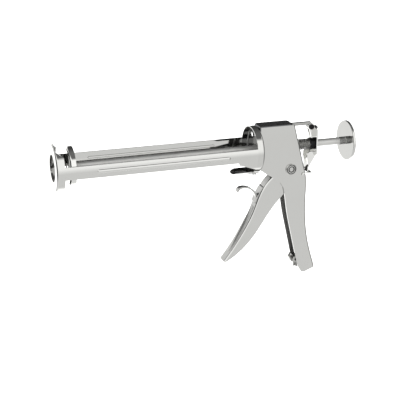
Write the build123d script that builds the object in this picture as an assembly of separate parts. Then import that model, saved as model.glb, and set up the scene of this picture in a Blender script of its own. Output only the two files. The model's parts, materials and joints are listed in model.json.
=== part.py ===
from build123d import *
import math
import os

# Skeleton caulking gun for a 310 ml cartridge, in millimetres.
# X runs along the rod: the nozzle end is at -X and the pull disc at +X. Z is up.
# The origin is on the rod's axis, in the plane where the cartridge's base seats in the rear cup.

# Barrel
shell_outer_radius = 26.2
shell_thickness = 1.2
cup_rim_depth = 7.0
cap_front_x = -227.5
cap_outer_radius = 26.8
cap_plate_thickness = 1.5
cap_edge_round = 2.4
cap_rim_rear_x = -218.9
cap_rim_top_z = (21.2, 16.6)
nozzle_hole_radius = 14.6
nozzle_hole_z = -0.3
nozzle_collar_depth = 2.6
rail_half_height = 6.9
rail_bead_radius = 2.6
rail_bead_front_x = -183.0
rail_bead_rear_x = -41.0
ear_front_x = -29.0
plate_hole_radius = 3.0
plate_hole_offset = 13.0
tongue_front_x = -29.5
tongue_lap_x = -11.0
tongue_half_width = 9.0

# Body and grip
body_half_width = 9.0
sheet = 1.5
body_top_z = 25.9
body_front_x = 2.5
body_rear_top_x = 43.0
chin_z = -22.8
grip_web_top_z = -36.0
strap_thickness = 1.3
strap_bend = 2.6
strap_edge_round = 0.9
strap_corner = 4.0
strap_rear_x = 41.0

# Rod
rod_radius = 4.0
rod_rear_x = 117.2
running_clearance = 0.06
plunger_front_x = -212.5
plunger_radius = 21.9
plunger_rim_depth = 6.5
plunger_sheet = 1.6
disc_radius = 22.7
disc_front_x = 109.0
disc_thickness = 3.2
plunger_washer_thickness = 1.4
nut_across_flats = 13.0

# Trigger
pivot_x = 39.5
pivot_z = -25.0
pivot_pin_radius = 4.0
trigger_half_width = 7.2
trigger_bend = 2.0
arm_nose_radius = 4.0
arm_nose_x = 32.4
hook_base_half_width = 5.5
hook_curl_half_width = 3.0

# Grip plates and their spring
grip_plate_thickness = 2.8
grip_plates_front_x = 22.5
grip_plate_half_width = 7.1
grip_plate_half_height = 11.0
grip_plate_gap = 0.3
spring_wire_radius = 0.6
spring_coil_radius = 5.6

# Brake
bracket_front_x = 15.0
bracket_bar_height = 3.4
bracket_half_width = 2.0
brake_pin_x = 65.0
brake_pin_z = 20.6
brake_pin_radius = 2.2
brake_washer_x = 64.2
brake_plate_x = 68.6
brake_plate_half_width = 11.2
brake_plate_top_z = 22.2
bracket_eye_radius = 3.8
ear_half_width = 3.9
brake_plate_thickness = 1.5
lever_half_width = 6.2
lever_bore_radius = 5.2
thumb_tab_half_width = 10.5
rear_guide_x = 46.0
rear_guide_thickness = 2.5

# Seal piercer
piercer_x = 50.0
piercer_z = -136.5
piercer_pin_radius = 1.6
needle_length = 55.0
needle_radius = 1.2

shell_inner_radius = shell_outer_radius - shell_thickness
rivet_radius = 1.5
rivet_places = [Pos(-3.2, 0, 0) * Rot(angle, 0, 0) for angle in (-11, 11)]
guide_bore_radius = rod_radius + running_clearance
clear_bore_radius = rod_radius + 0.35
bush_radius = 6.5
front_bush_length = 4.5
rear_guide_rear_x = rear_guide_x + rear_guide_thickness


def side_plate(face, y_low, y_high):
    """A face drawn as (x, z), given thickness from y_low to y_high."""
    return Pos(0, y_high, 0) * extrude(Plane.XZ * face, y_high - y_low)


def across(face, half_width):
    """A face drawn as (x, z), given the same thickness to both sides of the mid-plane."""
    return side_plate(face, -half_width, half_width)


def round_x(radius, x_low, x_high):
    """A cylinder on the rod's axis."""
    return Pos((x_low + x_high) / 2, 0, 0) * Rot(0, 90, 0) * Cylinder(radius, x_high - x_low)


def tube_x(outer, inner, x_low, x_high):
    """A tube on the rod's axis."""
    return round_x(outer, x_low, x_high) - round_x(inner, x_low, x_high)


def pin_y(radius, y_low, y_high, x, z):
    """A cylinder across the body."""
    return Pos(x, (y_low + y_high) / 2, z) * Rot(90, 0, 0) * Cylinder(radius, y_high - y_low)


def polygon(*points):
    """A face with straight sides, drawn as (x, z)."""
    return make_face(Polyline(*points, close=True))


def coil_x(x_low, x_high, turns):
    """A compression spring on the rod's axis."""
    height = x_high - x_low - 2 * spring_wire_radius
    path = Helix(height / turns, height, spring_coil_radius)
    section = Plane(path @ 0, z_dir=path % 0) * Circle(spring_wire_radius)
    return Pos(x_low + spring_wire_radius, 0, 0) * Rot(0, 90, 0) * sweep(section, path, is_frenet=True)


def rear_cup():
    """Shallow pressed cup with a round-cornered back plate, bored for the guide bush and the press tool."""
    cup = round_x(shell_outer_radius, -cup_rim_depth, shell_thickness)
    cup = fillet(cup.edges().filter_by(GeomType.CIRCLE).sort_by(Axis.X)[-1], 2.4)
    hollow = round_x(shell_inner_radius, -cup_rim_depth, 0)
    hollow = fillet(hollow.edges().filter_by(GeomType.CIRCLE).sort_by(Axis.X)[-1], 1.2)
    cup = cup - hollow - round_x(bush_radius, 0, shell_thickness) - rivet_holes()
    for side in (-1, 1):
        cup -= Pos(0, side * plate_hole_offset, plate_hole_offset) * round_x(plate_hole_radius, -1, 2)
    return cup


def rail(side):
    """Curved strip with an embossed bead; its root flares down where it is welded to the cup."""
    strip = polygon((cap_rim_rear_x, rail_half_height), (-cup_rim_depth, rail_half_height),
                    (-cup_rim_depth, -17.6), (-24, -10.8), (-28, -9.8), (ear_front_x, -rail_half_height),
                    (cap_rim_rear_x, -rail_half_height))
    shell = tube_x(shell_outer_radius, shell_inner_radius, cap_rim_rear_x, -cup_rim_depth)
    y_edges = sorted((side * 5, side * 30))
    body = shell & side_plate(strip, *y_edges)
    bead_y = side * (shell_outer_radius - rail_bead_radius + 0.9)
    bead = bead_shape(rail_bead_radius, bead_y)
    groove = bead_shape(rail_bead_radius - shell_thickness, bead_y)
    outside = round_x(shell_inner_radius + 0.3, cap_rim_rear_x, 0)
    return body + (bead - outside) - groove


def bead_shape(radius, y):
    """Round-ended bar that the rail's bead follows."""
    length = rail_bead_rear_x - rail_bead_front_x
    middle = (rail_bead_rear_x + rail_bead_front_x) / 2
    bar = Pos(middle, y, 0) * Rot(0, 90, 0) * Cylinder(radius, length)
    ends = [Pos(x, y, 0) * Sphere(radius) for x in (rail_bead_front_x, rail_bead_rear_x)]
    return bar + ends[0] + ends[1]


def front_cap():
    """Front plate with a rim that stops above the rails and a collar round the nozzle hole."""
    solid = round_x(cap_outer_radius, cap_front_x, cap_rim_rear_x)
    solid = fillet(solid.edges().filter_by(GeomType.CIRCLE).sort_by(Axis.X)[0], cap_edge_round)
    inner_x = cap_front_x + cap_plate_thickness
    hollow = round_x(cap_outer_radius - shell_thickness, inner_x, cap_rim_rear_x)
    hollow = fillet(hollow.edges().filter_by(GeomType.CIRCLE).sort_by(Axis.X)[0],
                    cap_edge_round - shell_thickness)
    cap = solid - hollow
    front_z, rear_z = cap_rim_top_z
    above = polygon((inner_x, front_z), (cap_rim_rear_x, rear_z), (cap_rim_rear_x, 30), (inner_x, 30))
    cap -= across(above, 30)
    down = Pos(0, 0, nozzle_hole_z)
    collar_rear = cap_front_x + nozzle_collar_depth
    cap += down * round_x(nozzle_hole_radius + shell_thickness, inner_x, collar_rear)
    return cap - down * round_x(nozzle_hole_radius, cap_front_x, collar_rear)


def cradle_tongue():
    """Curved tongue in line with the cup's rim, stepped down to lap under it, with a round front end."""
    under = shell_outer_radius + shell_thickness
    shell = tube_x(shell_outer_radius, shell_inner_radius, tongue_front_x, -cup_rim_depth)
    shell += tube_x(under, shell_outer_radius, tongue_lap_x, shell_thickness)
    nose_x = tongue_front_x + tongue_half_width
    plan = Pos(nose_x, 0) * Circle(tongue_half_width)
    length = shell_thickness - nose_x
    plan += Pos(nose_x + length / 2, 0) * Rectangle(length, 2 * tongue_half_width)
    return (shell & Pos(0, 0, -30) * extrude(plan, 20)) - rivet_holes()


def tongue_rivets():
    """Two flat-headed rivets through the cup's rim and the tongue."""
    outer = shell_outer_radius + shell_thickness
    rivets = []
    for place in rivet_places:
        shank = Pos(0, 0, -(outer + shell_inner_radius) / 2) * Cylinder(rivet_radius, 2 * shell_thickness)
        head = Pos(0, 0, -outer - 0.6) * Cylinder(2.4, 1.2)
        rivets.append(place * (shank + head))
    return Compound(children=rivets)


def rivet_holes():
    """Holes for the tongue's rivets, through the cup's rim and the tongue."""
    drill = Pos(0, 0, -shell_outer_radius) * Cylinder(rivet_radius, 6)
    return [place * drill for place in rivet_places]


def body_outline():
    """Side view of the body and grip, as drawn on either side plate."""
    top = Polyline((31, -46), (27.5, -40.5), (20.5, -34.6), (11.3, -28.9), (body_front_x, chin_z),
                   (body_front_x, body_top_z), (body_rear_top_x, body_top_z), (58.6, -34))
    back = Spline((58.6, -34), (59.5, -60), (60.6, -91), (65.2, -118.8), (72.6, -144.5),
                  tangents=((0.2, -1), (0.3, -1)))
    foot = Polyline((72.6, -144.5), (72.6, -148.3), (60.5, -153), (56.5, -152), (53.3, -146.8),
                    (50.5, -139.5))
    front = Spline((50.5, -139.5), (47, -124), (41.1, -98.5), (35.7, -73.4), (32.8, -55.1), (31, -46))
    return make_face(top + back + foot + front)


def handle_housing():
    """Folded channel: two side plates joined by the web at the back of the grip."""
    block = across(body_outline(), body_half_width)
    back = block.edges().filter_by(GeomType.BSPLINE).filter_by(lambda e: (e @ 0.5).X > 57)
    block = fillet(back, 2.2)
    web_front = Spline((57.1, grip_web_top_z), (58.0, -60), (59.1, -91), (63.7, -118.8), (71.0, -146),
                       tangents=((0.1, -1), (0.3, -1)))
    rest = Polyline((71.0, -146), (71.0, -147.2), (60.3, -151.3), (56, -160), (0, -160), (0, 40), (80, 40),
                    (80, grip_web_top_z), (57.1, grip_web_top_z))
    channel = across(make_face(web_front + rest), body_half_width - sheet)
    return block - channel - pin_y(pivot_pin_radius, -10, 10, pivot_x, pivot_z)


def top_strap():
    """Bent strap over the body's top and down its front, with rounded ends and edges and the bush's hole."""
    top = body_top_z + strap_thickness
    front = body_front_x - strap_thickness
    section = polygon((front, chin_z), (body_front_x, chin_z), (body_front_x, body_top_z),
                      (strap_rear_x, body_top_z), (strap_rear_x, top), (front, top))
    strap = across(section, body_half_width)
    bend = strap.edges().filter_by(Axis.Y).sort_by(lambda e: e.center().X - e.center().Z)[0]
    strap = fillet(bend, strap_bend)
    corners = strap.edges().filter_by(Axis.Z).filter_by(lambda e: e.center().X > strap_rear_x - 1)
    strap = fillet(corners, strap_corner)
    outline = strap.faces().filter_by(Axis.Z).sort_by(Axis.Z)[-1].edges()
    strap = fillet(outline.filter_by(lambda e: e.center().X > body_front_x + strap_bend), strap_edge_round)
    return strap - round_x(bush_radius, 0, 5)


def front_guide_bush():
    """Bush that carries the rod through the cup's back plate and the strap."""
    return tube_x(bush_radius, guide_bore_radius, 0, front_bush_length)


def rear_guide():
    """Cross plate between the side plates, with a short boss, that carries the rod's rear."""
    width = 2 * (body_half_width - sheet)
    plate = Pos((rear_guide_x + rear_guide_rear_x) / 2, 0, 0) * Box(rear_guide_thickness, width, width)
    boss = round_x(bush_radius, rear_guide_x - 2.5, rear_guide_rear_x)
    return plate + boss - round_x(guide_bore_radius, rear_guide_x - 5, rear_guide_x + 5)


def rear_bracket():
    """Bar under the strap, ending in an eye that the brake pin goes through."""
    low = body_top_z - bracket_bar_height
    bar = across(polygon((bracket_front_x, low), (brake_pin_x, low), (brake_pin_x, body_top_z),
                         (bracket_front_x, body_top_z)), bracket_half_width)
    bar = fillet(bar.edges().filter_by(Axis.X), 0.6)
    eye = pin_y(bracket_eye_radius, -bracket_half_width, bracket_half_width, brake_pin_x, brake_pin_z)
    return bar + eye - pin_y(brake_pin_radius, -8, 8, brake_pin_x, brake_pin_z)


def brake_pin():
    """Cross pin with a head at each end, tight in the bracket's eye."""
    reach = ear_half_width + 0.2
    pin = pin_y(brake_pin_radius, -reach, reach, brake_pin_x, brake_pin_z)
    for low in (-reach - 0.9, reach):
        pin += pin_y(3.0, low, low + 0.9, brake_pin_x, brake_pin_z)
    return pin


def pivot_pin():
    """Trigger pin with a ringed head on the near side."""
    shank = pin_y(pivot_pin_radius, -body_half_width, body_half_width + 1.6, pivot_x, pivot_z)
    head = pin_y(5.6, -body_half_width - 1.3, -body_half_width, pivot_x, pivot_z)
    ring = pin_y(4.3, -body_half_width - 1.3, -body_half_width - 0.6, pivot_x, pivot_z)
    button = pin_y(3.0, -body_half_width - 1.2, -body_half_width - 0.6, pivot_x, pivot_z)
    return shank + (head - ring) + button


def pivot_washer():
    """Retaining washer pressed on the pin's far end."""
    return (pin_y(5.6, body_half_width, body_half_width + 1.2, pivot_x, pivot_z)
            - pin_y(pivot_pin_radius, body_half_width, body_half_width + 2, pivot_x, pivot_z))


def pivot_sleeve():
    """Spacer between the trigger's side walls, on the pin."""
    reach = trigger_half_width - sheet - 0.1
    return (pin_y(5.8, -reach, reach, pivot_x, pivot_z)
            - pin_y(pivot_pin_radius + running_clearance, -reach, reach, pivot_x, pivot_z))


trigger_front = [(17.6, -33.2), (4.8, -50.2), (-4.4, -73.1), (-17.7, -98.1), (-38.6, -128.0)]
trigger_rear = [(-33.4, -127.6), (-18.6, -117.4), (-2.6, -100.5), (11.6, -79.7), (29.2, -57.7)]


def trigger():
    """Channel open to the rear; its side walls rise past the pivot to push the grip plates."""
    front = Spline(*trigger_front)
    tip = Polyline(trigger_front[-1], (-38.0, -129.8), trigger_rear[0])
    rear = Spline(*trigger_rear)
    shoulder = (26, -24)
    arm = Polyline(trigger_rear[-1], (33.5, -52.5), (44.5, -36), (49, -27), (47, -19), (41, -12), (37, -2),
                   (36.3, 1), (28.5, 1), (29.4, -9), (30, -17), shoulder, trigger_front[0])
    wall = make_face(front + tip + rear + arm)
    nose = Pos(arm_nose_x, 0) * Circle(arm_nose_radius)
    block = across(wall + nose, trigger_half_width)
    shoulder_x = (trigger_front[0][0] + shoulder[0]) / 2
    bends = block.edges().filter_by(GeomType.BSPLINE).filter_by(lambda e: (e @ 0.5).X < 0)
    bends += block.edges().filter_by(lambda e: abs((e @ 0.5).X - shoulder_x) < 0.1 and (e @ 0.5).Z < pivot_z
                                     and abs((e @ 0.5).Y) > sheet)
    block = fillet(bends, trigger_bend)
    inset = (1.25, -0.95)
    inner_front = Spline(*[(x + inset[0], z + inset[1]) for x, z in trigger_front])
    first, last = inner_front @ 0, inner_front @ 1
    rest = Polyline((last.X, last.Y), (-36, -140), (60, -140), (60, 20), (0, 20), (0, -31), (16, -31),
                    (first.X, first.Y))
    channel = across(make_face(inner_front + rest), trigger_half_width - sheet)
    return block - channel - pin_y(pivot_pin_radius + running_clearance, -10, 10, pivot_x, pivot_z)


def strip_face(one_side, other_side):
    """A face between two curves that run opposite ways, closed by a straight line at each end."""
    ends = Line(one_side @ 1, other_side @ 0) + Line(other_side @ 1, one_side @ 0)
    return make_face(one_side + other_side + ends)


def trigger_hook():
    """Curled strip on the front of the trigger, below the body."""
    base_front = Spline((7.2, -44.6), (1.6, -54.0), (-1.7, -61.5))
    base_rear = Spline((-0.6, -63.4), (3.2, -53.2), (8.6, -43.8))
    base = strip_face(base_front, base_rear)
    curl_outer = Spline((1.9, -55.0), (-3.2, -46.6), (-12.6, -42.6), (-20.6, -44.0), (-22.2, -47.6))
    curl_inner = Spline((-20.6, -48.2), (-18.8, -45.6), (-12.4, -44.2), (-4.4, -48.0), (0.2, -57.0))
    curl = strip_face(curl_outer, curl_inner)
    return across(base, hook_base_half_width) + across(curl, hook_curl_half_width) - trigger_solid


def grip_plate(x):
    """Hardened plate with a hole that is a little larger than the rod."""
    plate = Pos(x + grip_plate_thickness / 2, 0, 0) * Box(grip_plate_thickness, 2 * grip_plate_half_width,
                                                          2 * grip_plate_half_height)
    plate = fillet(plate.edges().filter_by(Axis.X), 2)
    return plate - round_x(clear_bore_radius, x - 1, x + grip_plate_thickness + 1)


def brake_lever():
    """Plate round the rod, notched for the bracket's eye; its ears hang on the brake pin, and its arm ends
    in a thumb tab that straddles the grip."""
    front = brake_plate_x
    rear = front + brake_plate_thickness
    low, top = -12, brake_plate_top_z
    plate = Box(brake_plate_thickness, 2 * brake_plate_half_width, top - low)
    plate = Pos((front + rear) / 2, 0, (low + top) / 2) * plate
    plate = fillet(plate.edges().filter_by(Axis.X), 4)
    notch_half_width = bracket_half_width + 0.4
    lever = plate - across(polygon((front, 16), (rear, 16), (rear, 30), (front, 30)), notch_half_width)
    arm = polygon((front, -10), (rear, -10), (rear, -13), (63.4, -24), (62.2, -26.5), (62.2, -30.6),
                  (60.9, -30.6), (60.9, -26.2), (62.0, -23.2), (front, -12))
    lever += across(arm, lever_half_width)
    upper_ear = polygon((61.6, 20.6), (65.4, 9), (rear, 9), (rear, 20.6))
    upper_ear += Pos(brake_pin_x, brake_pin_z) * Circle(bracket_eye_radius)
    lower_ear = polygon((rear, -8), (63.4, -7.6), (60.2, -9.6), (59.8, -14.5), (61.4, -23), (63.4, -24),
                        (rear, -13))
    wing = polygon((53.2, -30.9), (54.4, -30.4), (62, -30.4), (62, -31.6), (54.6, -31.6), (53.8, -33.6),
                   (52.9, -33.4))
    for side in (-1, 1):
        lever += side_plate(upper_ear, *sorted((side * notch_half_width, side * ear_half_width)))
        lever += side_plate(lower_ear, *sorted((side * (lever_half_width - sheet), side * lever_half_width)))
        lever += side_plate(wing, *sorted((side * (body_half_width + 0.4), side * thumb_tab_half_width)))
    lever += across(polygon((61.0, -30.4), (64.8, -30.4), (64.8, -31.6), (61.0, -31.6)), thumb_tab_half_width)
    lever -= round_x(lever_bore_radius, front - 1, rear + 1)
    return lever - pin_y(brake_pin_radius + running_clearance, -8, 8, brake_pin_x, brake_pin_z)


def spring_washer():
    """Flanged washer between the brake spring and the lever."""
    flange = tube_x(6.8, lever_bore_radius, brake_washer_x, brake_washer_x + 3)
    return flange + tube_x(6.0, lever_bore_radius, brake_washer_x + 3, brake_plate_x)


def drive_rod():
    """Plain round rod with a chamfered rear end."""
    rod = round_x(rod_radius, plunger_front_x + 0.4, rod_rear_x)
    return chamfer(rod.edges().filter_by(GeomType.CIRCLE).sort_by(Axis.X)[-1], 0.8)


def plunger():
    """Pressed pan that pushes the cartridge's piston; its rim points back."""
    rear = plunger_front_x + plunger_rim_depth
    pan = round_x(plunger_radius, plunger_front_x, rear)
    pan = fillet(pan.edges().filter_by(GeomType.CIRCLE).sort_by(Axis.X)[0], 3.2)
    hollow = round_x(plunger_radius - plunger_sheet, plunger_front_x + plunger_sheet, rear)
    hollow = fillet(hollow.edges().filter_by(GeomType.CIRCLE).sort_by(Axis.X)[0], 1.6)
    return pan - hollow - round_x(rod_radius, plunger_front_x, rear)


def nut_x(x_low, thickness):
    """A hexagon nut on the rod, from x_low."""
    prism = extrude(RegularPolygon(nut_across_flats / math.sqrt(3), 6), thickness)
    return Pos(x_low, 0, 0) * Rot(0, 90, 0) * prism - round_x(rod_radius, x_low, x_low + thickness)


def pull_disc():
    """Flat disc with rounded edges on the rod's rear end."""
    disc = round_x(disc_radius, disc_front_x, disc_front_x + disc_thickness)
    disc = fillet(disc.edges().filter_by(GeomType.CIRCLE), 0.8)
    return disc - round_x(rod_radius, disc_front_x, disc_front_x + disc_thickness)


def piercer_lugs():
    """Two small bosses spot-welded inside the grip that hold the piercer's pin."""
    inside = body_half_width - sheet
    bore = pin_y(piercer_pin_radius, -inside, inside, piercer_x, piercer_z)
    lugs = []
    for side in (-1, 1):
        lug = pin_y(4.0, *sorted((side * (inside - 1.4), side * inside)), piercer_x + 0.6, piercer_z)
        lugs.append(lug - bore)
    return Compound(children=lugs)


def piercer_block():
    """Block that turns on the piercer's pin, with a finger tab and a wire tail to flick it out."""
    block = across(polygon((-3.6, -4), (3.2, -4), (3.2, 4), (-2.4, 4)), 4.0)
    block += across(polygon((-3, 1), (-6, 2.5), (-6.4, 1.5), (-3, -3.8)), 3.0)
    block += Pos(1, 0, -7) * Cylinder(needle_radius, 8)
    block -= Pos(0, 0, 4) * Cylinder(needle_radius, 4)
    block -= pin_y(piercer_pin_radius + running_clearance, -9, 9, 0, 0)
    return Pos(piercer_x, 0, piercer_z) * block


def piercing_needle():
    """Stiff wire held in the block, pointed at its free end."""
    start = piercer_z + 2
    point_length = 8
    straight = needle_length - point_length
    wire = Pos(piercer_x, 0, start + straight / 2) * Cylinder(needle_radius, straight)
    point = Pos(piercer_x, 0, start + straight + point_length / 2) * Cone(needle_radius, 0.2, point_length)
    return wire + point


trigger_solid = trigger()
plunger_back_x = plunger_front_x + plunger_sheet
nodes = {
    "rear_cup": rear_cup(),
    "left_rail": rail(-1),
    "right_rail": rail(1),
    "front_cap": front_cap(),
    "cradle_tongue": cradle_tongue(),
    "tongue_rivets": tongue_rivets(),
    "handle_housing": handle_housing(),
    "top_strap": top_strap(),
    "front_guide_bush": front_guide_bush(),
    "rear_guide": rear_guide(),
    "rear_bracket": rear_bracket(),
    "brake_pin": brake_pin(),
    "pivot_pin": pivot_pin(),
    "pivot_washer": pivot_washer(),
    "pivot_sleeve": pivot_sleeve(),
    "trigger": trigger_solid,
    "trigger_hook": trigger_hook(),
    "front_grip_plate": grip_plate(grip_plates_front_x),
    "rear_grip_plate": grip_plate(grip_plates_front_x + grip_plate_thickness + grip_plate_gap),
    "grip_spring": coil_x(front_bush_length + 0.1, grip_plates_front_x - 0.1, 5),
    "brake_spring": coil_x(rear_guide_rear_x + 0.1, brake_washer_x - 0.1, 8),
    "spring_washer": spring_washer(),
    "brake_lever": brake_lever(),
    "drive_rod": drive_rod(),
    "plunger": plunger(),
    "plunger_washer": tube_x(8, rod_radius, plunger_back_x, plunger_back_x + plunger_washer_thickness),
    "plunger_nut": nut_x(plunger_back_x + plunger_washer_thickness, 4.9),
    "pull_disc": pull_disc(),
    "disc_nut": nut_x(disc_front_x + disc_thickness, 4.0),
    "piercer_lugs": piercer_lugs(),
    "piercer_pin": pin_y(piercer_pin_radius, -7.5, 7.5, piercer_x, piercer_z),
    "piercer_block": piercer_block(),
    "piercing_needle": piercing_needle(),
}

os.makedirs("parts", exist_ok=True)
for name, shape in nodes.items():
    export_step(shape, f"parts/{name}.step")
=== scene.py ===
import bpy
import json
import math
from mathutils import Matrix, Vector

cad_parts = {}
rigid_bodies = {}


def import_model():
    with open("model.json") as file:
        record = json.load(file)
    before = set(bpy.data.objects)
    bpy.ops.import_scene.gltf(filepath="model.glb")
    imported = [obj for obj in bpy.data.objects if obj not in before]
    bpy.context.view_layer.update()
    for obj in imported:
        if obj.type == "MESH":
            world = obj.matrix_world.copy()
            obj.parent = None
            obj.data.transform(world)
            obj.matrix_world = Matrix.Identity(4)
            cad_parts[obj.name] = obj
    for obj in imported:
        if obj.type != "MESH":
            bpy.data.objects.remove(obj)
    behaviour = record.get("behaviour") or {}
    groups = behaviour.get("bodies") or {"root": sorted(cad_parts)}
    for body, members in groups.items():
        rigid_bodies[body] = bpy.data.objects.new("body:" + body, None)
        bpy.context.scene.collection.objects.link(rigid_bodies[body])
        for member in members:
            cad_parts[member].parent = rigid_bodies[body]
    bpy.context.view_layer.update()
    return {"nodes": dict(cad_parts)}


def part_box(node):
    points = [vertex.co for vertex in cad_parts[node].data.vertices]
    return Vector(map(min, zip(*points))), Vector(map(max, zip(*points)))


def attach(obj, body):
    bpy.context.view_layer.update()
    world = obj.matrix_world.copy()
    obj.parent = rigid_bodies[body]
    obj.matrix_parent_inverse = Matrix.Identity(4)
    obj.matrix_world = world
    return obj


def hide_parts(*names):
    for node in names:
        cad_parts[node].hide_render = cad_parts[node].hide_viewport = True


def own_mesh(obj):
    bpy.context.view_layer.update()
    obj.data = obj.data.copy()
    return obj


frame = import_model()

scene = bpy.context.scene
nodes = frame["nodes"]
for piece in bpy.data.objects:
    piece.select_set(False)


# ---- Studio camera ----
# A long lens that looks slightly down at the gun's left side, from in front of the nozzle end.
# The roll is what levels the barrel in the frame.
view_azimuth = math.radians(-18.53)
view_elevation = math.radians(19.68)
view_roll = math.radians(0.17)
view_distance = 1.1483
view_target = Vector((-0.0649, 0, -0.0533))
turn = Matrix.Rotation(view_azimuth, 4, "Z") @ Matrix.Rotation(math.pi / 2 - view_elevation, 4, "X")
camera = bpy.data.objects.new("studio_camera", bpy.data.cameras.new("studio_camera"))
scene.collection.objects.link(camera)
camera.data.lens = 93.31
camera.data.sensor_width = 36
camera.matrix_world = (Matrix.Translation(view_target) @ turn @ Matrix.Rotation(view_roll, 4, "Z")
                       @ Matrix.Translation((0, 0, view_distance)))
scene.camera = camera
scene.view_settings.view_transform = "Standard"


def hex_colour(code):
    """An sRGB hex value as the linear colour that a shader takes."""
    channels = [int(code[i:i + 2], 16) / 255 for i in (1, 3, 5)]
    return tuple(c / 12.92 if c <= 0.04045 else ((c + 0.055) / 1.055) ** 2.4 for c in channels) + (1,)


def add_node(tree, kind, links=None, sockets=None, **settings):
    """A shader node with its settings, its socket values and what it is linked from."""
    node = tree.nodes.new(kind)
    for name, value in settings.items():
        setattr(node, name, value)
    for name, value in (sockets or {}).items():
        node.inputs[name].default_value = value
    for name, source in (links or {}).items():
        tree.links.new(source, node.inputs[name])
    return node


# ---- Studio room ----
# What the plating mirrors: a pale room, brightest low down on the far side, under a black ceiling.
# The wall beyond the nozzle is black and the wall behind the disc is in shade, which draws a
# dark line down each rounded front edge and a dimmer one down each rear edge.
room = bpy.data.worlds.new("studio_room")
scene.world = room
room.use_nodes = True
room.node_tree.nodes.clear()
direction = add_node(room.node_tree, "ShaderNodeTexCoord")
axes = add_node(room.node_tree, "ShaderNodeSeparateXYZ", {"Vector": direction.outputs["Generated"]})
nose_end = add_node(room.node_tree, "ShaderNodeMapRange", {"Value": axes.outputs["X"]},
                    {"From Min": -0.37, "From Max": -0.27, "To Min": 1.2, "To Max": 2.3})
far_floor = add_node(room.node_tree, "ShaderNodeMapRange",
                     {"Value": axes.outputs["Y"], "To Max": nose_end.outputs[0]},
                     {"From Min": -0.35, "From Max": 0.5, "To Min": 1.0})
near_glow = add_node(room.node_tree, "ShaderNodeMapRange", {"Value": axes.outputs["Z"]},
                     {"From Min": -0.28, "From Max": 0.15, "To Min": 1.0, "To Max": 1.5})
near_side = add_node(room.node_tree, "ShaderNodeMapRange", {"Value": axes.outputs["Y"]},
                     {"From Min": 0.1, "From Max": -0.1})
wall_top = add_node(room.node_tree, "ShaderNodeMapRange", {"Value": axes.outputs["Z"]},
                    {"From Min": 0.86, "From Max": 0.74})
lit_wall = add_node(room.node_tree, "ShaderNodeMath", {0: near_side.outputs[0], 1: wall_top.outputs[0]},
                    operation="MULTIPLY")
ceiling = add_node(room.node_tree, "ShaderNodeMapRange", {"Value": axes.outputs["Y"]},
                   {"From Min": 0.7, "From Max": 0.1, "To Min": 0.07, "To Max": 0.2})
upper_room = add_node(room.node_tree, "ShaderNodeMapRange",
                      {"Value": lit_wall.outputs[0], "To Min": ceiling.outputs[0]}, {"To Max": 1.5})
lower_room = add_node(room.node_tree, "ShaderNodeMix",
                      {"Factor": near_side.outputs[0], "A": far_floor.outputs[0], "B": near_glow.outputs[0]})
leaning_horizon = add_node(room.node_tree, "ShaderNodeMath", {0: axes.outputs["X"], 2: axes.outputs["Z"]},
                           {1: 0.5}, operation="MULTIPLY_ADD")
above_horizon = add_node(room.node_tree, "ShaderNodeMapRange", {"Value": leaning_horizon.outputs[0]},
                         {"From Min": 0.03, "From Max": 0.33})
level = add_node(room.node_tree, "ShaderNodeMix",
                 {"Factor": above_horizon.outputs[0], "A": lower_room.outputs[0], "B": upper_room.outputs[0]})
nozzle_wall = add_node(room.node_tree, "ShaderNodeMapRange", {"Value": axes.outputs["X"]},
                       {"From Min": -0.9, "From Max": -0.8, "To Min": 0.06, "To Max": 1})
disc_wall = add_node(room.node_tree, "ShaderNodeMapRange",
                     {"Value": axes.outputs["X"], "To Min": nozzle_wall.outputs[0]},
                     {"From Min": 0.55, "From Max": 0.85, "To Max": 0.32})
room_light = add_node(room.node_tree, "ShaderNodeMath", {0: level.outputs[0], 1: disc_wall.outputs[0]},
                      operation="MULTIPLY")
backdrop = add_node(room.node_tree, "ShaderNodeBackground", {"Strength": room_light.outputs[0]},
                    {"Color": hex_colour("#fffffe")})
# Seen directly, past the floor's edge, the room is plain white.
white_wall = add_node(room.node_tree, "ShaderNodeBackground", sockets={"Color": hex_colour("#ffffff")})
ray = add_node(room.node_tree, "ShaderNodeLightPath")
seen = add_node(room.node_tree, "ShaderNodeMixShader",
                {0: ray.outputs["Is Camera Ray"], 1: backdrop.outputs[0], 2: white_wall.outputs[0]})
add_node(room.node_tree, "ShaderNodeOutputWorld", {"Surface": seen.outputs[0]})

floor_z = -0.6
bpy.ops.mesh.primitive_plane_add(size=30, location=(0, 0, floor_z))
floor = bpy.context.object
floor.name = "studio_floor"
floor.visible_glossy = False
floor_paint = bpy.data.materials.new("matt white studio floor")
floor_paint.use_nodes = True
floor_surface = floor_paint.node_tree.nodes["Principled BSDF"]
floor_surface.inputs["Base Color"].default_value = hex_colour("#f4f4f4")
floor_surface.inputs["Roughness"].default_value = 0.9
floor.data.materials.append(floor_paint)

lamp = bpy.data.objects.new("overhead_softbox", bpy.data.lights.new("overhead_softbox", "AREA"))
scene.collection.objects.link(lamp)
lamp.data.size = 8
lamp.data.energy = 900
lamp.location = (0, 0, 5)
lamp.visible_glossy = False


# ---- Nozzle cap ----
# Pressed from cold-rolled steel sheet, polished, and bright chrome plated after welding. The
# plate copies the sheet: a slow ripple from the press, and faint polishing lines. Inside
# the rim the plate is duller, and its colour is painted darker as painted shade.
millimetre = 0.001


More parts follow.
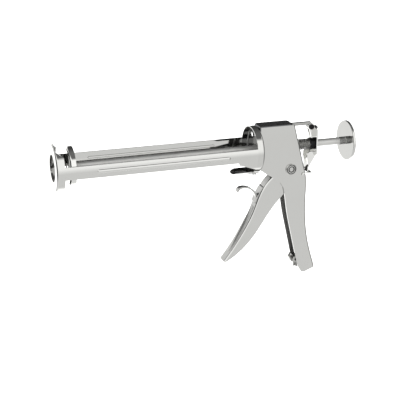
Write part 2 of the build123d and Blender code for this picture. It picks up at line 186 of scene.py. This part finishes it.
def plated_steel(name, colour, roughness, ripple_mm, ripple_depth, line_mm, line_stretch, line_roughness):
    """Plate over polished steel. Sizes are in mm; line_stretch is how many times longer than wide the
    polishing lines are on X, Y and Z, and line_roughness is how much duller they are."""
    haze_mm = 35
    line_depth = 0.002
    worn_share = 0.95
    material = bpy.data.materials.new(name)
    material.use_nodes = True
    tree = material.node_tree
    surface = tree.nodes["Principled BSDF"]
    place = add_node(tree, "ShaderNodeTexCoord")
    stretched = add_node(tree, "ShaderNodeMapping", {"Vector": place.outputs["Object"]},
                         {"Scale": [1 / stretch for stretch in line_stretch]})
    lines = add_node(tree, "ShaderNodeTexNoise", {"Vector": stretched.outputs[0]},
                     {"Scale": 1 / (line_mm * millimetre), "Detail": 3, "Roughness": 0.6})
    ripple = add_node(tree, "ShaderNodeTexNoise", {"Vector": place.outputs["Object"]},
                      {"Scale": 1 / (ripple_mm * millimetre), "Detail": 1})
    haze = add_node(tree, "ShaderNodeTexNoise", {"Vector": place.outputs["Object"]},
                    {"Scale": 1 / (haze_mm * millimetre), "Detail": 2})
    shine = add_node(tree, "ShaderNodeMapRange", {"Value": lines.outputs["Fac"]},
                     {"From Min": 0.3, "From Max": 0.7,
                      "To Min": roughness, "To Max": roughness + line_roughness})
    tree.links.new(shine.outputs[0], surface.inputs["Roughness"])
    bright = hex_colour(colour)
    tint = add_node(tree, "ShaderNodeMix", {"Factor": haze.outputs["Fac"]},
                    {"A": bright, "B": [c * worn_share for c in bright[:3]] + [1]}, data_type="RGBA")
    tree.links.new(tint.outputs["Result"], surface.inputs["Base Color"])
    fine = add_node(tree, "ShaderNodeBump", {"Height": lines.outputs["Fac"]},
                    {"Strength": 0.25, "Distance": line_depth * millimetre})
    slow = add_node(tree, "ShaderNodeBump", {"Height": ripple.outputs["Fac"], "Normal": fine.outputs[0]},
                    {"Strength": 1, "Distance": ripple_depth * millimetre})
    tree.links.new(slow.outputs[0], surface.inputs["Normal"])
    surface.inputs["Metallic"].default_value = 1
    return material


def paint_shade_inside(material, axes_used, edge_mm, colour, roughness):
    """Paints the plate darker, as painted shade, and makes it duller where it is nearer to the rod's axis
    than edge_mm. axes_used has a 1 for each of X, Y and Z that the distance is measured on."""
    fade_mm = 0.1
    tree = material.node_tree
    surface = tree.nodes["Principled BSDF"]
    place = add_node(tree, "ShaderNodeTexCoord")
    kept = add_node(tree, "ShaderNodeMapping", {"Vector": place.outputs["Object"]}, {"Scale": axes_used})
    reach = add_node(tree, "ShaderNodeVectorMath", {0: kept.outputs[0]}, operation="LENGTH")
    inside = add_node(tree, "ShaderNodeMapRange", {"Value": reach.outputs["Value"]},
                      {"From Min": (edge_mm + fade_mm) * millimetre, "From Max": edge_mm * millimetre})
    outer_shine = surface.inputs["Roughness"].links[0].from_socket
    outer_colour = surface.inputs["Base Color"].links[0].from_socket
    shine = add_node(tree, "ShaderNodeMix", {"Factor": inside.outputs[0], "A": outer_shine},
                     {"B": roughness})
    # The darker colour mixed in here is painted shade.
    tint = add_node(tree, "ShaderNodeMix", {"Factor": inside.outputs[0], "A": outer_colour},
                    {"B": hex_colour(colour)}, data_type="RGBA")
    tree.links.new(shine.outputs[0], surface.inputs["Roughness"])
    tree.links.new(tint.outputs["Result"], surface.inputs["Base Color"])


def paint(material, *names):
    """Gives CAD nodes a material in place of the plain one."""
    for name in names:
        nodes[name].data.materials.clear()
        nodes[name].data.materials.append(material)


cap_chrome = plated_steel("bright chrome on pressed cap", "#c8c8c6", roughness=0.03, ripple_mm=14,
                          ripple_depth=0.006, line_mm=0.35, line_stretch=(1, 1, 14), line_roughness=0.05)
# Inside the rim the darker colour is painted shade.
paint_shade_inside(cap_chrome, axes_used=(0, 1, 1), edge_mm=25.7, colour="#8a8a88", roughness=0.12)
paint(cap_chrome, "front_cap")

# ---- Rear cup ----
# A shallow pressing like the cap's, with the same plate, duller in the bowl and painted darker
# there as painted shade, which is why the bowl reads darker than the rim.
cup_chrome = plated_steel("bright chrome on pressed cup", "#c5c5c3", roughness=0.03, ripple_mm=14,
                          ripple_depth=0.006, line_mm=0.35, line_stretch=(1, 1, 14), line_roughness=0.05)
# The darker colour in the bowl is painted shade.
paint_shade_inside(cup_chrome, axes_used=(0, 1, 1), edge_mm=25.1, colour="#8f8f8e", roughness=0.12)
paint(cup_chrome, "rear_cup")

# ---- Cradle tongue ----
# Curved strip riveted under the cup. Its upper face is painted nearly black as a painted
# reflection of the black ceiling, and keeps a bright edge.
tongue_chrome = plated_steel("chrome on curved strip with painted dark face", "#c5c5c3", roughness=0.05, ripple_mm=12,
                             ripple_depth=0.005, line_mm=0.35, line_stretch=(12, 1, 1), line_roughness=0.05)
# The near-black colour on the upper face is a painted reflection of the black ceiling.
paint_shade_inside(tongue_chrome, axes_used=(0, 1, 1), edge_mm=25.2, colour="#4a4a4a", roughness=0.08)
paint(tongue_chrome, "cradle_tongue")

# ---- Side rails ----
# Roll-formed strip with an embossed bead, spot-welded to the cup and the cap, then bright
# chromed. Its polishing lines run along it.
rail_chrome = plated_steel("bright chrome on roll-formed strip", "#c8c8c6", roughness=0.03, ripple_mm=22,
                           ripple_depth=0.004, line_mm=0.3, line_stretch=(25, 1, 1), line_roughness=0.05)
paint(rail_chrome, "left_rail", "right_rail")

# ---- Body and grip ----
# Folded from one blank of sheet steel and chromed, so the flat sides mirror cleanly. Between the
# side plates, on the web and inside the channel, the plate is duller and painted a darker grey as painted
# shade.
body_chrome = plated_steel("bright chrome on folded body", "#c7c7c5", roughness=0.03, ripple_mm=14,
                           ripple_depth=0.006, line_mm=0.35, line_stretch=(1, 1, 14), line_roughness=0.05)
# The darker grey inside the channel is painted shade.
paint_shade_inside(body_chrome, axes_used=(0, 1, 0), edge_mm=7.6, colour="#b4b4b2", roughness=0.45)
paint(body_chrome, "handle_housing")

# ---- Trigger and hook ----
# The trigger is a channel folded from sheet steel, with a curled strip welded to its front.
# Both are chromed together. The plate is duller on the web and inside the channel, and painted darker there
# as painted shade.
trigger_chrome = plated_steel("bright chrome on folded trigger", "#c7c7c5", roughness=0.03, ripple_mm=14,
                              ripple_depth=0.006, line_mm=0.35, line_stretch=(1, 1, 14), line_roughness=0.05)
# The darker colour inside the channel is painted shade.
paint_shade_inside(trigger_chrome, axes_used=(0, 1, 0), edge_mm=5.8, colour="#b0b0ae", roughness=0.3)
paint(trigger_chrome, "trigger", "trigger_hook")

# ---- Trigger rib ----
# A low rib pressed up along the middle of the trigger's web, which stiffens it. Its edges are
# what put two dark lines down the front of the trigger.
def draw_outline(place, points):
    """A line through the points, which are measured from the place. It is left in edit mode."""
    bpy.ops.mesh.primitive_plane_add(size=millimetre, location=place)
    bpy.ops.object.mode_set(mode="EDIT")
    bpy.ops.mesh.select_all(action="SELECT")
    bpy.ops.mesh.merge(type="CENTER")
    bpy.ops.transform.translate(value=points[0])
    for before, after in zip(points, points[1:]):
        step = [b - a for a, b in zip(before, after)]
        bpy.ops.mesh.extrude_region_move(TRANSFORM_OT_translate={"value": step})


def finish_piece(name, material, body):
    """Names the piece just shaped, closes and smooths it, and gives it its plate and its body."""
    weld_distance = 0.001 * millimetre
    smooth_below = math.radians(35)
    piece = bpy.context.object
    piece.name = name
    bpy.ops.object.transform_apply(location=True, rotation=True, scale=True)
    bpy.ops.object.mode_set(mode="EDIT")
    bpy.ops.mesh.select_all(action="SELECT")
    bpy.ops.mesh.remove_doubles(threshold=weld_distance)
    bpy.ops.mesh.fill_holes(sides=0)
    bpy.ops.mesh.normals_make_consistent(inside=False)
    bpy.ops.object.mode_set(mode="OBJECT")
    bpy.ops.object.shade_smooth_by_angle(angle=smooth_below)
    piece.data.materials.append(material)
    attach(piece, body)
    piece.select_set(False)
    return piece


rib_half_width = 2.8 * millimetre
rib_height = 0.8 * millimetre
rib_sunk = 0.2 * millimetre
rib_below_hook = 4 * millimetre
rib_above_tip = 12 * millimetre
rib_steps = 16
crown_steps = 10
trigger_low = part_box("trigger")[0]
rib_top_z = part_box("trigger_hook")[0][2] - rib_below_hook
rib_low_z = trigger_low[2] + rib_above_tip
before_trigger_x = trigger_low[0] - 100 * millimetre
web_points = []
for step in range(rib_steps + 1):
    z = rib_top_z + (rib_low_z - rib_top_z) * step / rib_steps
    web_point = nodes["trigger"].ray_cast((before_trigger_x, 0, z), (1, 0, 0))[1]
    web_points.append(web_point + Vector((rib_sunk, 0, 0)))
crown = []
for step in range(crown_steps + 1):
    across = math.pi * step / crown_steps
    crown.append((-rib_height * math.sin(across) ** 0.5, rib_half_width * -math.cos(across), 0))
draw_outline(web_points[0], crown)
bpy.ops.mesh.select_all(action="SELECT")
for before, after in zip(web_points, web_points[1:]):
    bpy.ops.mesh.extrude_region_move(TRANSFORM_OT_translate={"value": after - before})
bpy.ops.object.mode_set(mode="OBJECT")
finish_piece("trigger_rib", trigger_chrome, "trigger")

# ---- Rod ----
# Drawn bar, centreless ground and left satin under its plate, so it spreads the light and
# reads an even pale grey with polishing lines running round it.
rod_chrome = plated_steel("satin chrome on ground bar", "#d2d2d0", roughness=0.56, ripple_mm=9,
                          ripple_depth=0.002, line_mm=0.25, line_stretch=(1, 12, 12), line_roughness=0.1)
paint(rod_chrome, "drive_rod")

# ---- Rod's threaded end ----
# The last stretch in front of the pull disc is threaded, and oil-blackened rather than plated,
# so it reads dark against the disc.
def wind(turns, pitch, steps, axis):
    """Turns the outline just drawn round the object's own axis, rising by the pitch at each turn."""
    winding = bpy.context.object.modifiers.new("winding", "SCREW")
    winding.axis = axis
    winding.iterations = turns
    winding.screw_offset = pitch
    winding.steps = winding.render_steps = steps
    bpy.ops.object.modifier_apply(modifier=winding.name)


black_oxide = plated_steel("black oxide on turned steel", "#262627", roughness=0.3, ripple_mm=4,
                           ripple_depth=0.002, line_mm=0.2, line_stretch=(4, 1, 4), line_roughness=0.15)
rod_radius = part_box("drive_rod")[1][2]
disc_front_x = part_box("pull_disc")[0][0]
thread_pitch = 0.8 * millimetre
thread_turns = 9
thread_gap_turns = 0.3
ridge_size = 0.47 * millimetre
ridge_sunk = 0.15 * millimetre
bpy.ops.mesh.primitive_circle_add(vertices=3, radius=ridge_size, rotation=(math.pi / 2, 0, 0),
                                  location=(0, 0, rod_radius - ridge_sunk))
bpy.ops.object.transform_apply(location=True, rotation=True, scale=True)
wind(thread_turns, thread_pitch, 32, "X")
bpy.context.object.location.x = disc_front_x - (thread_turns + thread_gap_turns) * thread_pitch
finish_piece("rod_thread", black_oxide, "rod")

# ---- Plunger and pull disc ----
# The plunger is a pressed steel pan and the disc is cut from plate. Both are fixed to the rod
# by nuts, and are polished on the lathe and bright chromed until they mirror the gun.
plunger_chrome = plated_steel("bright chrome on pressed pan", "#d2d2d0", roughness=0.025, ripple_mm=20,
                              ripple_depth=0.004, line_mm=0.3, line_stretch=(1, 6, 6), line_roughness=0.03)
paint(plunger_chrome, "plunger")
disc_chrome = plated_steel("bright chrome on turned disc", "#c6c6c4", roughness=0.03, ripple_mm=20,
                           ripple_depth=0.006, line_mm=0.3, line_stretch=(1, 6, 6), line_roughness=0.04)
paint(disc_chrome, "pull_disc")

# ---- Brake lever ----
# Cut and bent from steel plate, and hung on the brake pin. It is bright chromed after bending,
# so its flat face mirrors the floor.
lever_chrome = plated_steel("bright chrome on bent plate", "#e0e0de", roughness=0.04, ripple_mm=16,
                            ripple_depth=0.005, line_mm=0.3, line_stretch=(1, 6, 1), line_roughness=0.04)
paint(lever_chrome, "brake_lever")

# ---- Bracket ----
# Steel bar welded under the strap, with an eye at its end for the brake pin. It is pressed
# flat and plated without polishing, so it is duller than the sheet.
bracket_chrome = plated_steel("dull chrome on pressed bar", "#a9a9a7", roughness=0.12, ripple_mm=10,
                              ripple_depth=0.004, line_mm=0.3, line_stretch=(14, 1, 1), line_roughness=0.1)
paint(bracket_chrome, "rear_bracket")

# ---- Top strap ----
# Steel strap bent over the body's top and front and welded there. Its colour is painted dark grey
# as a painted reflection of the black ceiling, so it reads as near-black metal with a faint sheen along its
# crown.
# The dark grey colour is a painted reflection of the black ceiling.
strap_painted_dark = plated_steel("bent steel strap painted dark as reflection", "#646466", roughness=0.22, ripple_mm=10,
                           ripple_depth=0.004, line_mm=0.3, line_stretch=(14, 1, 1), line_roughness=0.12)
paint(strap_painted_dark, "top_strap")

# ---- Nuts, bushes and rivets ----
# Turned from free-cutting steel and zinc plated, a little duller than the chrome, with
# fine turning lines.
turned_steel = plated_steel("zinc plate on turned steel", "#a9aaa9", roughness=0.2, ripple_mm=5,
                            ripple_depth=0.003, line_mm=0.2, line_stretch=(1, 4, 4), line_roughness=0.15)
paint(turned_steel, "plunger_washer", "plunger_nut", "disc_nut", "front_guide_bush", "rear_guide",
      "pivot_washer", "pivot_sleeve", "tongue_rivets")

# ---- Trigger pin ----
# Turned pin, chromed, and rolled over at the near end after fitting. The rolling leaves a
# raised ring between two grooves, which are painted black as painted shade, and a shallow dimple.
pin_plate = plated_steel("bright chrome on rolled pin", "#bcbcba", roughness=0.06, ripple_mm=6,
                         ripple_depth=0.003, line_mm=0.2, line_stretch=(4, 1, 4), line_roughness=0.06)
paint(pin_plate, "pivot_pin")
pin_low, pin_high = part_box("pivot_pin")
pin_middle = [(a + b) / 2 for a, b in zip(pin_low, pin_high)]
# From the rim to the middle, in mm: how far from the pin's axis, and how far behind its head.
rolled_head = [(6.2, 1.25), (6.2, -0.2), (5.9, -0.5), (5.5, -0.5), (5.4, 0), (4.7, 0), (4.6, -0.5),
               (4.2, -0.7), (3.7, -0.6), (3.4, -0.05), (2.6, -0.05), (2.5, -0.5), (2.0, -0.7),
               (1.0, -0.6), (0.0, -0.35)]
# Radii of the grooves, in mm, which are painted black as painted shade.
painted_shade_grooves = ((4.6, 5.5), (2.5, 3.45))
draw_outline((pin_middle[0], pin_low[1], pin_middle[2]),
             [(radius * millimetre, depth * millimetre, 0) for radius, depth in rolled_head])
bpy.ops.object.mode_set(mode="OBJECT")
wind(1, 0, 48, "Y")
pivot_head = finish_piece("pivot_rolled_head", pin_plate, "frame")
# The black material goes in the grooves as painted shade.
pivot_head.data.materials.append(black_oxide)
for face in pivot_head.data.polygons:
    from_middle = math.hypot(face.center.x - pin_middle[0], face.center.z - pin_middle[2]) / millimetre
    if any(inner < from_middle < outer for inner, outer in painted_shade_grooves):
        face.material_index = 1

# ---- Brake pin, spring washer, piercer pin and needle ----
# Small parts turned from steel bar, and the needle from stiff wire. They are oil-blackened like
# the rod's thread, so they are nearly black with a soft sheen.
paint(black_oxide, "brake_pin", "spring_washer", "piercer_pin", "piercing_needle")

# ---- Grip plates and piercer ----
# The plates are hardened spring steel and the piercer's block and lugs are mild steel. All are
# ground flat and left bare, with grinding lines across them.
ground_steel = plated_steel("ground hardened steel", "#b0b0ad", roughness=0.28, ripple_mm=8,
                            ripple_depth=0.002, line_mm=0.25, line_stretch=(1, 16, 1), line_roughness=0.2)
paint(ground_steel, "front_grip_plate", "rear_grip_plate", "piercer_lugs", "piercer_block")

# ---- Springs ----
# Round drawn wire, coiled cold and zinc plated, so it is a dull grey. Each spring is wound from wire along
# its CAD node, which is then hidden.
# Each is listed with its joint and the share of its length it keeps, towards the end that the frame holds, at
# the joint's limit; these are not used here.
spring_wire = plated_steel("zinc plate on drawn spring wire", "#8d8d8a", roughness=0.3, ripple_mm=4,
                           ripple_depth=0.002, line_mm=0.2, line_stretch=(1, 1, 1), line_roughness=0.15)
wire_radius = 0.6 * millimetre
for cad_name, joint_name, turns, keep in (("grip_spring", "grip_plates_slide", 4, 0.3),
                                          ("brake_spring", "brake_lever_pivot", 7, 0.929)):
    spring_low, spring_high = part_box(cad_name)
    coil_radius = spring_high[2] - wire_radius
    wound_length = spring_high[0] - spring_low[0] - 2 * wire_radius
    bpy.ops.mesh.primitive_circle_add(vertices=12, radius=wire_radius, rotation=(math.pi / 2, 0, 0),
                                      location=(0, 0, coil_radius))
    bpy.ops.object.transform_apply(location=True, rotation=True, scale=True)
    wind(turns, wound_length / turns, 28, "X")
    bpy.context.object.location.x = spring_low[0] + wire_radius
    coil = finish_piece(cad_name + "_coil", spring_wire, "frame")
    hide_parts(cad_name)
    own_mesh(coil)
    paint(spring_wire, cad_name)
